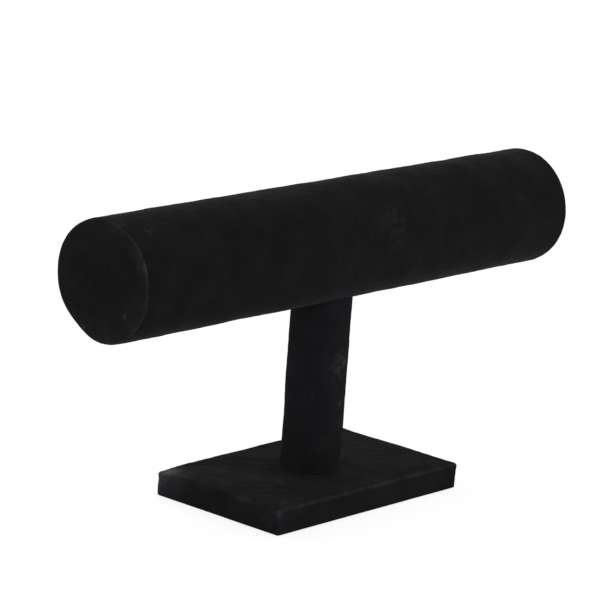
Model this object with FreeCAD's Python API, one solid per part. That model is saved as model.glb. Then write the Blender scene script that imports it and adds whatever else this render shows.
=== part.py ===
import FreeCAD, Part
import math
import os
from FreeCAD import Vector

# A display stand for bracelets: one long velvet roll, carried level by one round post on a flat oblong base.
# Each of the three is covered in velvet by itself, and one long bolt then draws them together.
# Millimetres. +X runs along the roll, +Z is up, and the origin is under the middle of the base, on the table.

# Velvet and glue
cloth = 0.9
glue = 0.1
bend_chords = 2

# Base
board_length = 120.5
board_depth = 72.0
board_thickness = 10.0
board_round = 0.6
base_hem = 13.0
hem_bevel = 0.6
liner_thickness = 0.4
liner_inset = 2.0
liner_round = 3.0

# Post
dowel_diameter = 25.4
dowel_chamfer = 0.5
foot_hem = 5.5
foot_tabs = 8

# Roll
roll_axis_height = 117.8
tube_length = 279.0
tube_diameter = 52.0
tube_wall = 3.0
end_hem = 9.0
end_tabs = 12
end_disc_setback = 0.7
plug_depth = 12.0
plug_chamfer = 1.0

# Saddle block inside the roll
saddle_length = 64.0
saddle_width = 26.0
saddle_thickness = 11.0

# Bolt and tee nut
bolt_diameter = 6.0
bolt_head_diameter = 12.0
bolt_head_land = 0.4
bolt_head_sink = 0.2
bolt_socket_across_flats = 4.0
bolt_socket_depth = 2.2
bolt_tip_chamfer = 0.8
bolt_spare = 4.4
nut_barrel_diameter = 8.0
nut_barrel_length = 8.0
nut_flange_diameter = 19.0
nut_flange_thickness = 1.3
prong_count = 4
prong_length = 6.0
prong_width = 3.2
prong_thickness = 0.9
prong_inset = 0.2

# Seams and slits in the velvet
seam_gap = 0.3
tab_gap = 0.6
corner_fold_width = 0.4
corner_fold_depth = 0.45
roll_seam_angle = 35.0

# Clearances
seat_clearance = 0.1
bolt_clearance = 0.25
thread_clearance = 0.05
plug_clearance = 0.1
tab_clearance = 0.4

# Worked out: how far a velvet surface lies outside what it covers
wrap = glue + cloth

# Worked out: heights in the base
hem_bottom = liner_thickness
board_bottom = hem_bottom + wrap
board_top = board_bottom + board_thickness
base_top = board_top + wrap
base_length = board_length + 2 * wrap
base_depth = board_depth + 2 * wrap

# Worked out: the post
dowel_radius = dowel_diameter / 2
post_radius = dowel_radius + wrap
dowel_foot = base_top + wrap

# Worked out: the roll
tube_radius = tube_diameter / 2
tube_bore_radius = tube_radius - tube_wall
tube_end = tube_length / 2
roll_radius = tube_radius + wrap
sleeve_end = tube_end + wrap
end_hem_radius = tube_radius - end_hem
end_disc_radius = roll_radius - end_disc_setback

# Worked out: what the bolt draws together
saddle_radius = tube_bore_radius - glue
saddle_bottom = roll_axis_height - saddle_radius
saddle_top = saddle_bottom + saddle_thickness
nut_top = saddle_top + nut_flange_thickness
bolt_foot = board_bottom + bolt_head_sink
bolt_tip = nut_top + bolt_spare
bolt_radius = bolt_diameter / 2
bolt_hole_radius = bolt_radius + bolt_clearance
bolt_cone_height = (bolt_head_diameter - bolt_diameter) / 2

# How far a cutting body reaches past what it cuts, and how near two values count as the same
past = 1.0
same = 1e-4

across = Vector(1, 0, 0)
up = Vector(0, 0, 1)
middle = Vector(0, 0, 0)
roll_axis_point = Vector(0, 0, roll_axis_height)


def block(length, depth, bottom, top):
    """An upright block, centred on the base."""
    return Part.makeBox(length, depth, top - bottom, Vector(-length / 2, -depth / 2, bottom))


def upright_edges(solid):
    """The straight vertical edges of a block."""
    return [edge for edge in solid.Edges if abs(edge.tangentAt(edge.FirstParameter).z) > 1 - same]


def edges_at(solid, height):
    """The edges that lie flat at one height."""
    return [edge for edge in solid.Edges
            if abs(edge.BoundBox.ZMin - height) < same and abs(edge.BoundBox.ZMax - height) < same]


def soft_block(length, depth, bottom, top, radius):
    """A block with its four upright edges and its top edges rounded to one radius."""
    plain = block(length, depth, bottom, top)
    return plain.makeFillet(radius, upright_edges(plain) + edges_at(plain, top))


def turned(outline, centre, axis):
    """A solid of revolution from a closed outline given as edges."""
    return Part.Face(Part.Wire(outline)).revolve(centre, axis, 360)


def polyline(points):
    """Straight edges through the points, in order."""
    return [Part.LineSegment(a, b).toShape() for a, b in zip(points, points[1:])]


def bend(start, end, centre):
    """Points round a quarter turn, from start to end, where velvet goes over a sharp edge."""
    angles = [step * math.pi / 2 / bend_chords for step in range(bend_chords + 1)]
    return [centre + (start - centre) * math.cos(angle) + (end - centre) * math.sin(angle) for angle in angles]


def upright_cylinder(radius, bottom, top):
    """A cylinder about the vertical line through the middle of the base."""
    return Part.makeCylinder(radius, top - bottom, Vector(0, 0, bottom), up)


def roll_cylinder(radius, length):
    """A cylinder about the roll's axis, centred along it."""
    return Part.makeCylinder(radius, length, Vector(-length / 2, 0, roll_axis_height), across)


def bolt_passage(bottom, top):
    """The clearance hole for the bolt between two heights."""
    return upright_cylinder(bolt_hole_radius, bottom - past, top + past)


def seat_of_roll():
    """What the roll takes out of the top of the post, so that the post is coped to it."""
    return roll_cylinder(roll_radius + seat_clearance, tube_length)


def bolt_body(spread):
    """The bolt's head and shank, swollen by spread, for the bolt itself and for its countersink."""
    head = bolt_head_diameter / 2 + spread
    shank = bolt_radius + spread
    cone_start = bolt_foot + bolt_head_land
    outline = [Vector(0, 0, bolt_foot), Vector(head, 0, bolt_foot), Vector(head, 0, cone_start),
               Vector(shank, 0, cone_start + bolt_cone_height), Vector(shank, 0, bolt_tip - bolt_tip_chamfer),
               Vector(shank - bolt_tip_chamfer, 0, bolt_tip), Vector(0, 0, bolt_tip), Vector(0, 0, bolt_foot)]
    return turned(polyline(outline), middle, up)


# Base

def make_base_board():
    """The board: rounded upright and top edges, square lower edges, and a countersunk hole from below."""
    board = soft_block(board_length, board_depth, board_bottom, board_top, board_round)
    head_pocket = upright_cylinder(bolt_head_diameter / 2 + seat_clearance, board_bottom - past, bolt_foot)
    board = board.cut(bolt_body(seat_clearance)).cut(head_pocket)
    return board.cut(bolt_passage(board_bottom, board_top))


def hem_mitre(side_x, side_y):
    """The slit between two hems, on the diagonal of one lower corner."""
    window_x = board_length / 2 - base_hem
    window_y = board_depth / 2 - base_hem
    reach = (base_hem - board_round) * math.sqrt(2) + past
    slit = Part.makeBox(reach, tab_gap, wrap + past, Vector(-past, -tab_gap / 2, 0))
    slit.rotate(middle, up, math.degrees(math.atan2(side_y, side_x)))
    slit.translate(Vector(side_x * window_x, side_y * window_y, hem_bottom - past))
    return slit


def corner_fold(side_x, side_y):
    """The line down one upright corner where the velvet of the two sides meets."""
    inset = (board_round + wrap) * (1 - math.sqrt(0.5))
    depth = corner_fold_depth + past
    height = board_top - board_round - hem_bottom + past
    groove = Part.makeBox(depth, corner_fold_width, height,
                          Vector(-corner_fold_depth, -corner_fold_width / 2, 0))
    groove.rotate(middle, up, math.degrees(math.atan2(side_y, side_x)))
    corner = Vector(side_x * (base_length / 2 - inset), side_y * (base_depth / 2 - inset), hem_bottom - past)
    groove.translate(corner)
    return groove


def make_base_cover():
    """Velvet over the board's top and sides, turned under it as a hem with mitred corners."""
    outside = soft_block(base_length, base_depth, hem_bottom, base_top, board_round + wrap)
    outside = outside.makeChamfer(hem_bevel, edges_at(outside, hem_bottom))
    inside = soft_block(board_length + 2 * glue, board_depth + 2 * glue, hem_bottom + cloth,
                        board_top + glue, board_round + glue)
    window = block(board_length - 2 * base_hem, board_depth - 2 * base_hem, hem_bottom - past, board_bottom)
    cover = outside.cut(inside).cut(window)
    for side_x in (-1, 1):
        for side_y in (-1, 1):
            cover = cover.cut(hem_mitre(side_x, side_y)).cut(corner_fold(side_x, side_y))
    return cover.cut(bolt_passage(board_top, base_top))


def make_base_liner():
    """The flat lining under the base, which covers the hems and the bolt's head."""
    plain = block(base_length - 2 * liner_inset, base_depth - 2 * liner_inset, 0, liner_thickness)
    return plain.makeFillet(liner_round, upright_edges(plain))


# Post

def make_post_core():
    """The dowel: coped on top to the roll, chamfered at its foot and bored through for the bolt."""
    outline = [Vector(0, 0, dowel_foot), Vector(dowel_radius - dowel_chamfer, 0, dowel_foot),
               Vector(dowel_radius, 0, dowel_foot + dowel_chamfer), Vector(dowel_radius, 0, roll_axis_height),
               Vector(0, 0, roll_axis_height), Vector(0, 0, dowel_foot)]
    dowel = turned(polyline(outline), middle, up)
    return dowel.cut(seat_of_roll()).cut(bolt_passage(dowel_foot, roll_axis_height))


def foot_slit(number):
    """One of the slits that part the hem under the post into tabs."""
    inner = dowel_radius - foot_hem - past
    slit = Part.makeBox(dowel_radius - tab_clearance - inner, tab_gap, wrap + past,
                        Vector(inner, -tab_gap / 2, base_top - past / 2))
    slit.rotate(middle, up, (number + 0.5) * 360 / foot_tabs)
    return slit


def make_post_cover():
    """The velvet sleeve of the post: butted down the back, coped to the roll and turned in under the foot."""
    hem_radius = dowel_radius - foot_hem
    inner = dowel_radius + glue
    under = Vector(dowel_radius, 0, base_top)
    side = Vector(post_radius, 0, dowel_foot)
    outline = [Vector(hem_radius, 0, base_top)] + bend(under, side, Vector(dowel_radius, 0, dowel_foot))
    outline += [Vector(post_radius, 0, roll_axis_height), Vector(inner, 0, roll_axis_height),
                Vector(inner, 0, base_top + cloth), Vector(hem_radius, 0, base_top + cloth), outline[0]]
    sleeve = turned(polyline(outline), middle, up).cut(seat_of_roll())
    seam = Part.makeBox(seam_gap, foot_hem + wrap + 2 * past, roll_axis_height - base_top + 2 * past,
                        Vector(-seam_gap / 2, hem_radius - past, base_top - past))
    sleeve = sleeve.cut(seam)
    for number in range(foot_tabs):
        sleeve = sleeve.cut(foot_slit(number))
    return sleeve


# Roll

def make_roll_tube():
    """The paper tube, with the bolt's hole in the middle of its underside."""
    tube = roll_cylinder(tube_radius, tube_length)
    tube = tube.cut(roll_cylinder(tube_bore_radius, tube_length + 2 * past))
    return tube.cut(bolt_passage(roll_axis_height - roll_radius, saddle_top))


def end_slit(number):
    """One of the slits that part the hem at the roll's right end into tabs."""
    inner = end_hem_radius - past
    slit = Part.makeBox(wrap + past, tab_gap, tube_radius - tab_clearance - inner,
                        Vector(tube_end + glue / 2, -tab_gap / 2, inner))
    slit.rotate(middle, across, (number + 0.5) * 360 / end_tabs)
    slit.translate(roll_axis_point)
    return slit


def make_roll_cover():
    """The velvet sleeve of the roll: butted low on the back, and turned in over both ends as tabs."""
    brim = Vector(sleeve_end, 0, tube_radius)
    shoulder = Vector(tube_end, 0, roll_radius)
    right = [Vector(tube_end + glue, 0, tube_radius + glue), Vector(tube_end + glue, 0, end_hem_radius),
             Vector(sleeve_end, 0, end_hem_radius)] + bend(brim, shoulder, Vector(tube_end, 0, tube_radius))
    left = [Vector(-corner.x, 0, corner.z) for corner in reversed(right)]
    sleeve = turned(polyline(right + left + right[:1]), middle, across)
    sleeve.translate(roll_axis_point)
    seam = Part.makeBox(2 * (sleeve_end + past), seam_gap, end_hem + wrap + 2 * past,
                        Vector(-sleeve_end - past, -seam_gap / 2, end_hem_radius - past))
    seam.rotate(middle, across, 180 + roll_seam_angle)
    seam.translate(roll_axis_point)
    sleeve = sleeve.cut(seam)
    sleeve = sleeve.cut(bolt_passage(roll_axis_height - roll_radius, roll_axis_height - tube_radius))
    for number in range(end_tabs):
        right_slit = end_slit(number)
        sleeve = sleeve.cut(right_slit).cut(right_slit.mirror(middle, across))
    return sleeve


def make_end_plug():
    """The wooden plug of the right end: its raised middle comes level with the turned-in velvet."""
    radius = tube_bore_radius - plug_clearance
    boss = end_hem_radius - tab_clearance
    inside = tube_end - plug_depth
    outline = [Vector(inside, 0, 0), Vector(inside, 0, radius - plug_chamfer),
               Vector(inside + plug_chamfer, 0, radius), Vector(tube_end, 0, radius),
               Vector(tube_end, 0, boss), Vector(sleeve_end, 0, boss), Vector(sleeve_end, 0, 0),
               Vector(inside, 0, 0)]
    plug = turned(polyline(outline), middle, across)
    plug.translate(roll_axis_point)
    return plug


def make_end_cover():
    """The velvet disc glued over the right end, its cut edge a little inside the roll's own."""
    return Part.makeCylinder(end_disc_radius, cloth, Vector(sleeve_end + glue, 0, roll_axis_height), across)


def make_roll_saddle():
    """The block that beds in the tube and takes the pull of the bolt."""
    bed = roll_cylinder(saddle_radius, saddle_length)
    trimmed = bed.common(block(saddle_length, saddle_width, saddle_bottom - past, saddle_top))
    barrel_hole = upright_cylinder(nut_barrel_diameter / 2 + thread_clearance,
                                   saddle_top - nut_barrel_length - thread_clearance, saddle_top + past)
    trimmed = trimmed.cut(barrel_hole).cut(bolt_passage(saddle_bottom, saddle_top))
    for number in range(prong_count):
        trimmed = trimmed.cut(make_prong(number))
    return trimmed


# Bolt and nut

def make_prong(number):
    """One pointed prong of the tee nut, bent down from the rim of its flange."""
    inner = nut_flange_diameter / 2 - prong_inset - prong_thickness
    points = [Vector(inner, -prong_width / 2, saddle_top), Vector(inner, prong_width / 2, saddle_top),
              Vector(inner, 0, saddle_top - prong_length), Vector(inner, -prong_width / 2, saddle_top)]
    prong = Part.Face(Part.Wire(polyline(points))).extrude(Vector(prong_thickness, 0, 0))
    prong.rotate(middle, up, (number + 0.5) * 360 / prong_count)
    return prong


def make_tee_nut():
    """The tee nut: a flange on the saddle block, a barrel down into it and prongs that stop it turning."""
    nut = upright_cylinder(nut_flange_diameter / 2, saddle_top, nut_top)
    nut = nut.fuse(upright_cylinder(nut_barrel_diameter / 2, saddle_top - nut_barrel_length, nut_top))
    for number in range(prong_count):
        nut = nut.fuse(make_prong(number))
    nut = nut.cut(upright_cylinder(bolt_radius + thread_clearance, saddle_top - nut_barrel_length - past,
                                   nut_top + past))
    return nut.removeSplitter()


def make_tie_bolt():
    """The long countersunk bolt, with a hexagon socket in its head."""
    across_corners = bolt_socket_across_flats / math.cos(math.pi / 6)
    corners = [Vector(across_corners / 2 * math.cos(turn * math.pi / 3),
                      across_corners / 2 * math.sin(turn * math.pi / 3), bolt_foot) for turn in range(7)]
    socket = Part.Face(Part.Wire(polyline(corners))).extrude(Vector(0, 0, bolt_socket_depth))
    return bolt_body(0).cut(socket)


def make_parts():
    """Every piece of the stand by its name."""
    end_plug = make_end_plug()
    end_cover = make_end_cover()
    return {
        "base_board": make_base_board(),
        "base_cover": make_base_cover(),
        "base_liner": make_base_liner(),
        "post_core": make_post_core(),
        "post_cover": make_post_cover(),
        "roll_tube": make_roll_tube(),
        "roll_cover": make_roll_cover(),
        "roll_end_plug_left": end_plug.mirror(middle, across),
        "roll_end_plug_right": end_plug,
        "roll_end_cover_left": end_cover.mirror(middle, across),
        "roll_end_cover_right": end_cover,
        "roll_saddle": make_roll_saddle(),
        "tee_nut": make_tee_nut(),
        "tie_bolt": make_tie_bolt(),
    }


def write_parts(parts):
    """Write each piece to a file of its own and say what it is."""
    os.makedirs("parts", exist_ok=True)
    for name, shape in parts.items():
        solids = shape.Solids
        print(name, "solids", len(solids), "valid", shape.isValid(), "volume", round(shape.Volume, 1))
        (solids[0] if len(solids) == 1 else shape).exportStep("parts/" + name + ".step")


write_parts(make_parts())
print("base top", round(base_top, 2), "roll radius", round(roll_radius, 2), "roll length",
      round(2 * (sleeve_end + wrap), 2), "height", round(roll_axis_height + roll_radius, 2),
      "bolt length", round(bolt_tip - bolt_foot, 2))
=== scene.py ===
"""Velvet covers, finishes and stage for a bracelet display stand, laid out as an add-on."""

import math

import bpy
import numpy as np
from mathutils import Matrix, Vector


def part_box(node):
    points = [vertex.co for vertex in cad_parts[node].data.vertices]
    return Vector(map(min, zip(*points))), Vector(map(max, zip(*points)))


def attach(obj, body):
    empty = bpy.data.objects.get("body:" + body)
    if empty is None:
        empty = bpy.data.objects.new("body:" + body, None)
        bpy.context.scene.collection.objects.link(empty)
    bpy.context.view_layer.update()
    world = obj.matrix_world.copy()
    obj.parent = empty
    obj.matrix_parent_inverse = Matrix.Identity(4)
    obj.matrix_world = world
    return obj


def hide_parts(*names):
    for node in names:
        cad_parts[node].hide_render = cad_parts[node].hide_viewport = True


bl_info = {
    "name": "Bracelet display stand",
    "version": (1, 0, 0),
    "blender": (4, 5, 0),
    "location": "3D View > Sidebar > Stand",
    "description": "Dresses the frame of a bracelet display stand in black velvet and sets its stage",
    "category": "Object",
}

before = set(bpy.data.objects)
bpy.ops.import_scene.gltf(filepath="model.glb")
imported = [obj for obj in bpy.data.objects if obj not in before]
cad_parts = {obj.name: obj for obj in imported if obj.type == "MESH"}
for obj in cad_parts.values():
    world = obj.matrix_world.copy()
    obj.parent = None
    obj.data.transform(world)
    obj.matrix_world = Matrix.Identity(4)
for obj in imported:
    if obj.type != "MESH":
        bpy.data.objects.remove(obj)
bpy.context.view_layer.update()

MM = 0.001
ROOT = "root"

# Sizes that come from the frame
BASE_LOW, BASE_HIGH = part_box("base_cover")
BOARD_LOW, BOARD_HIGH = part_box("base_board")
POST_LOW, POST_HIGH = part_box("post_cover")
DOWEL_LOW, DOWEL_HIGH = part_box("post_core")
ROLL_LOW, ROLL_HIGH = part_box("roll_cover")
TUBE_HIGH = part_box("roll_tube")[1]
DISC_LOW, DISC_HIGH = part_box("roll_end_cover_right")
CLOTH = DISC_HIGH.x - DISC_LOW.x
WRAP = BASE_HIGH.x - BOARD_HIGH.x
ROLL_RADIUS = ROLL_HIGH.y
TUBE_RADIUS = TUBE_HIGH.y
TUBE_END = TUBE_HIGH.x
SLEEVE_END = ROLL_HIGH.x
ROLL_HEIGHT = (ROLL_LOW.z + ROLL_HIGH.z) / 2
POST_RADIUS = POST_HIGH.x
DOWEL_RADIUS = DOWEL_HIGH.x
DISC_RADIUS = DISC_HIGH.y

# Angles of the mesh lines round a heel of cloth, between facing out and facing down
HEEL_FALLS = np.radians([18, 36, 54, 72, 90])
# Normals whose Z is below this belong to an underside, where the pile is pressed
UNDERSIDE = -0.5
PRESSED_SHARE = 0.2
# What is left of the cloth where it is worn most, and how far the pile falls at a cut edge
THINNEST = 0.15 * MM
CUT_FALL = 0.15 * MM

# How far the pile opens, from 0, shut, to 1, fully; past 1 it is worn bare. Part of this lighter pile is
# painted light: painted highlights on edges, folds and rims, and painted light that lifts the shade round
# the post's foot
# Painted highlight along the base's top edges, much less along the unlit left edge
OPEN_AND_HIGHLIT_AT_EDGE = 0.75
LESS_HIGHLIGHT_AT_LEFT_EDGE = 0.6
# Lighter pile down each corner fold, with a painted highlight at its top
OPEN_AT_FOLD = 0.8
HIGHLIGHT_AT_FOLD_TOP = 0.4
# Worn pile at the rubbed corner, partly a painted highlight where the left lamp grazes it
WORN_AND_HIGHLIT_AT_CORNER = 2.3
# Painted light that lifts the shade round the post's foot, on the base and on the post's heel
PAINTED_LIGHT_ROUND_POST = 0.22
PAINTED_LIGHT_AT_HEEL = 0.5
OPEN_AT_SEAM = 0.5
# Lighter pile round the roll's ends: opened pile with a painted highlight, strongest on one stretch of the
# left rim
OPEN_AND_HIGHLIT_AT_RIM = 0.38
MORE_HIGHLIGHT_AT_RIM_STRETCH = 0.27
OPEN_NEAR_RIM = 0.14
HIGHLIGHT_AT_RIM_STRETCH = 0.35

# The velvet of each part: how its streaks are stretched, how light it is painted (lighter or darker copies
# of one velvet, standing in for the light and shade each part gets), its nap's strength and its gloss
VELVET_LOOKS = {"base": ((1, 1, 1), 0.98, 0.15, 0.022), "post": ((1, 1, 0.4), 1.2, 0.4, 0.008),
                "roll": ((0.4, 1, 1), 0.78, 0.4, 0.03), "ends": ((1, 1, 1), 0.78, 0.4, 0.03)}

# Where the pile is brushed up or dusty, and where lighter patches are painted as highlights: the place in
# millimetres, how far that reaches, and its strength
DUST_AND_HIGHLIGHTS_BASE = (((-60, -36.5, 9), 9, 0.02), ((-61.2, -37, 10.6), 1.5, 0.3), ((-50, -34, 12.4), 8, 0.03),
                ((-29, -9, 12.4), 2.5, 0.12), ((-50, -31, 12.4), 2.5, 0.09), ((-61, -14, 12), 3, 0.06),
                ((-61, -30, 6), 4, 0.04))
# On the post, the strongest patch, on its right side, is partly dust and partly a painted highlight where
# light falls
DUST_AND_HIGHLIGHTS_POST = (((0.8, -13.7, 64.5), 4.5, 0.22), ((-2, -13.6, 59), 4.5, 0.06), ((2.5, -13.5, 45), 3, 0.08),
                ((3, -13.4, 36), 3, 0.06), ((-12, -6.5, 50), 2.5, 0.05), ((-7, -11.5, 27), 4, 0.03))
DUST_AND_HIGHLIGHTS_ROLL = (((17, -24, 130), 7, 0.055), ((20, -26, 121), 6, 0.035), ((-129, -14, 141), 4, 0.08),
                ((20, -7, 144), 2.5, 0.1), ((-10, -26, 110), 12, 0.03), ((-118, -13, 141.5), 5, 0.04),
                # The last place, on the left rim's top, is a painted highlight
                ((-140, -7, 144), 4, 0.06))
DUST_AND_HIGHLIGHTS_DISC = (((-141.5, -14, 106), 1.1, 0.2), ((-141.5, -4, 92), 3, 0.08), ((-141.5, 10, 94), 3, 0.13),
                # The last place, at the rim's top, is a painted highlight
                ((-141.5, -19, 103), 4, 0.05), ((-141.5, -21, 131), 3, 0.07), ((-141.5, -7, 144), 4, 0.06))

# Lamps: how far right of the stand and how far beyond it, how high, how wide and how strong
LAMPS = {"left_side": (-1.0, 0.1, 0.3, 0.5, 2.0), "right_side": (1.0, 0.1, 0.25, 0.5, 4.0),
         "front_fill": (-0.25, -1.2, 0.35, 0.9, 3.5), "overhead": (0.0, 0.5, 1.15, 0.8, 3.0)}
FILM_WIDTH = 36
FLOOR_REACH = 8.0
FLOOR_DROP = 0.1 * MM
WHITE = (1, 1, 1, 1)


# Properties


def length(name, description, millimetres):
    """A length that a user may set, given in millimetres and kept in metres."""
    return bpy.props.FloatProperty(
        name=name, description=description, default=millimetres * MM, min=0, precision=5, unit="LENGTH")


def angle(name, description, degrees):
    """An angle that a user may set."""
    return bpy.props.FloatProperty(
        name=name, description=description, default=math.radians(degrees), subtype="ANGLE")


def colour(name, description, default):
    """A colour that a user may set."""
    return bpy.props.FloatVectorProperty(
        name=name, description=description, default=default, subtype="COLOR", size=3, min=0, max=1)


def count(name, description, default):
    """A whole number that a user may set."""
    return bpy.props.IntProperty(name=name, description=description, default=default, min=1)


class StandVelvet(bpy.types.PropertyGroup):
    """How the velvet is cut, turned and uneven."""

    base_hem: length("Base hem", "Velvet turned under the board", 13)
    end_hem: length("End hem", "Velvet turned in over each end of the roll", 9)
    end_tabs: count("End tabs", "Tabs that each end hem is slit into", 12)
    foot_hem: length("Foot hem", "Velvet turned in under the post", 5.5)
    foot_tabs: count("Foot tabs", "Tabs that the foot hem is slit into", 8)
    heel_fullness: count("Heel fullness", "How square the pile stands round the foot; 2 is round", 7)
    tab_gap: length("Tab gap", "Width of the slit between two tabs", 0.6)
    edge_round: length("Base edge round", "Radius of the base's top and upright edges", 1.6)
    seam_gap: length("Seam gap", "Gap between the two butted edges of a sleeve", 0.3)
    seam_fall: length("Seam fall", "How far the pile falls away into a seam", 0.4)
    seam_closing: length("Seam closing", "How far the pile leans over the roll's seam", 0.13)
    roll_seam: angle("Roll seam", "Where the roll's seam runs, from straight down towards the back", 35)
    seat_gap: length("Seat gap", "Gap between the post's velvet and the roll's", 0.1)
    station: length("Station spacing", "Distance between the mesh lines on flat stretches", 1.1)
    swell: length("Swell", "Height of the slow ups and downs of the glued velvet", 0.12)
    swell_span: length("Swell span", "Distance between the slow ups and downs", 24)
    ruffle: length("Ruffle", "Height of the small ups and downs of the pile", 0.05)
    ruffle_span: length("Ruffle span", "Distance between the small ups and downs", 4.5)
    fold_depth: length("Corner fold depth", "Depth of the line down each corner of the base", 0.3)
    disc_edge: length("Disc edge", "Radius of the pile round the edge of an end disc", 0.45)
    disc_splay: length("Disc splay", "How far the pile spreads past the cut edge of an end disc", 0.35)
    worn_depth: length("Worn edge", "How far the left end's lower back edge is flattened", 1.3)
    worn_place: angle("Worn place", "Middle of the flat stretch, from straight up towards the back", 146)
    worn_reach: angle("Worn reach", "How far round the flattening fades out", 26)
    bulge_height: length("Bulge", "How far the left end's upper back edge stands out", 0.5)
    bulge_place: angle("Bulge place", "Middle of the bulge, from straight up towards the back", 62)
    # The left rim's lightest stretch is a painted highlight
    rim_highlight_place: angle("Brushed rim", "Middle of the left rim's lightest stretch, from the top", -66)
    rim_highlight_reach: angle("Brushed reach", "How far round that stretch fades out", 28)
    # The rubbed corner is pressed in; its colour there is worn pile with a painted highlight
    rubbed_depth: length("Rubbed corner", "How far the base's back left corner is pressed", 0.75)
    rubbed_reach: length("Rubbed reach", "How far from that corner the rubbing fades out", 12)


class StandColours(bpy.types.PropertyGroup):
    """The colours of the finishes."""

    pile: colour("Pile", "Velvet seen into the pile", (0.0062, 0.0064, 0.0071))
    laid: colour("Laid pile", "Velvet where the pile lies over", (0.0090, 0.0093, 0.0103))
    # Besides opened pile, this colour paints highlights on edges, folds and rims, and painted light that
    # lifts the shade round the post's foot
    turned: colour("Turned pile", "Velvet where its pile opens over an edge", (0.026, 0.0265, 0.029))
    # Besides worn pile, this colour paints highlights at the rubbed corner, the tops of the corner folds
    # and the left rim's lightest stretch
    worn_and_highlit: colour("Worn pile", "Velvet rubbed bare of its gloss", (0.12, 0.121, 0.122))
    # Besides dust and lint, this colour paints a few lighter patches as highlights
    lint_and_highlight: colour("Lint", "Dust and lint on the pile", (0.11, 0.112, 0.118))
    sheen: colour("Sheen", "Tint of the velvet's sheen", (0.86, 0.88, 1.0))
    card: colour("Lining card", "Black card under the base", (0.016, 0.016, 0.017))
    fibreboard: colour("Fibreboard", "The board in the base", (0.36, 0.24, 0.14))
    birch: colour("Birch", "The dowel in the post", (0.62, 0.45, 0.28))
    softwood: colour("Softwood", "End plugs and saddle block", (0.58, 0.42, 0.26))
    paper: colour("Tube paper", "The roll's paper tube", (0.45, 0.34, 0.22))
    zinc: colour("Zinc plate", "Bolt and tee nut", (0.6, 0.6, 0.6))
    floor: colour("Floor", "The pale floor", (0.86, 0.86, 0.86))


class StandView(bpy.types.PropertyGroup):
    """Camera and light."""

    azimuth: angle("Azimuth", "Direction of view, from +Y towards +X", 49.126)
    elevation: angle("Elevation", "Height of the camera above the horizon", 13.896)
    tilt: angle("Tilt", "Turn of the camera about its line of sight", 4.06)
    distance: length("Distance", "From the camera to its target", 1531.2)
    target_left: length("Target left", "How far the target lies left of the stand's middle", 9.767)
    target_height: length("Target height", "The target's height over the floor", 89.555)
    lens: bpy.props.FloatProperty(
        name="Lens", description="Focal length on a frame 36 mm wide", default=204.66, min=10,
        unit="CAMERA")
    surround: bpy.props.FloatProperty(
        name="Surround", description="Strength of the even white light all round", default=0.8, min=0)


# Mesh lines and faces


def unit(vectors):
    """Each row at length one."""
    return vectors / np.maximum(np.linalg.norm(vectors, axis=-1, keepdims=True), 1e-12)


def unevenness(points, span, seed, waves=28):
    """Smooth random relief, about -1 to 1, whose ups and downs are about one span apart."""
    draw = np.random.default_rng(seed)
    headings = unit(draw.normal(size=(waves, 3)))
    lengths = span * draw.uniform(0.7, 1.5, waves)
    phases = draw.uniform(0, 2 * math.pi, waves)
    waving = points @ (headings * (2 * math.pi / lengths[:, None])).T + phases
    return np.sin(waving).sum(1) / math.sqrt(waves)


def hump(distance, width):
    """One at no distance, falling off smoothly over the width."""
    return np.exp(-(distance / width) ** 2)


def even_steps(start, end, spacing):
    """Stations from start to end, both included, about one spacing apart."""
    return np.linspace(start, end, max(2, round(abs(end - start) / spacing)) + 1)


def half_turn_angles():
    """Angles of half a turned edge, closest together at its crest."""
    return np.radians([45, 43.5, 42, 39, 34, 27, 18, 9, 0])


def away_from_edge(spacing):
    """Distances from a cut edge, from close together at the edge to the even spacing."""
    return np.array([0, 0.1, 0.25, 0.45, 0.7, 1.1]) * MM + spacing * np.array([0, 0, 0, 0, 0, 0.3])


class Surface:
    """Points, normals and faces of one side of a cloth, gathered row by row."""

    def __init__(self):
        self.points, self.normals, self.quads, self.total = [], [], [], 0

    def add(self, points, normals):
        """Stores more points and returns their numbers."""
        numbers = self.total + np.arange(len(points))
        self.points.append(points)
        self.normals.append(np.broadcast_to(normals, points.shape))
        self.total += len(points)
        return numbers

    def join(self, upper, lower, skip=None):
        """Faces between two rows of as many points, except where skip is true."""
        quads = np.stack([upper[:-1], lower[:-1], lower[1:], upper[1:]], axis=1)
        self.quads.append(quads if skip is None else quads[~skip])

    def arrays(self):
        """All points, normals and faces."""
        return np.concatenate(self.points), np.concatenate(self.normals), np.concatenate(self.quads)


def free_edges(quads):
    """The edges that only one face uses, in that face's own direction."""
    starts, ends = quads.ravel(), np.roll(quads, -1, axis=1).ravel()
    size = int(quads.max()) + 1
    alone = ~np.isin(starts * size + ends, ends * size + starts)
    return np.stack([starts[alone], ends[alone]], axis=1)


def new_object(name, data):
    """An object of its own in the scene."""
    made = bpy.data.objects.new(name, data)
    bpy.context.scene.collection.objects.link(made)
    return made


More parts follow.
